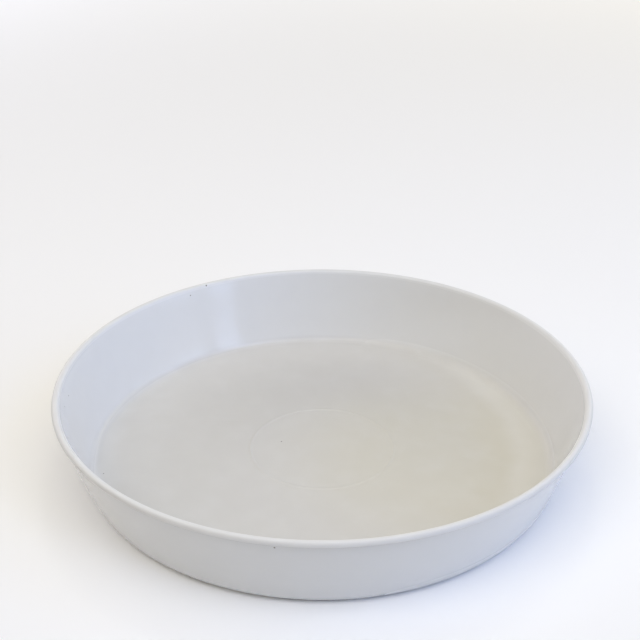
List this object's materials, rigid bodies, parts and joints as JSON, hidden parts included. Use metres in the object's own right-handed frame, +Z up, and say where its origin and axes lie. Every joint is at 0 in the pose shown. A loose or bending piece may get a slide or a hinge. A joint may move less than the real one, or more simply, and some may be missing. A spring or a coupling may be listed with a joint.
{
  "type": "plant saucer",
  "caption": "Round white plastic saucer that stands under a flower pot and catches its water, with a flat floor, a sloping wall and a small lip turned out.",
  "frame": {"origin": "on the dish's axis, in the plane that its foot stands on", "axes": "+Z up along the dish's axis, towards its open side; the picture looks along +Y"},
  "size_m": [0.3, 0.3, 0.05],
  "materials": {
    "white_plastic": "glossy moulded white plastic, slightly creamy and a little scuffed with use"
  },
  "bodies": {
    "root": {"dish": "white_plastic"}
  },
  "joints": []
}
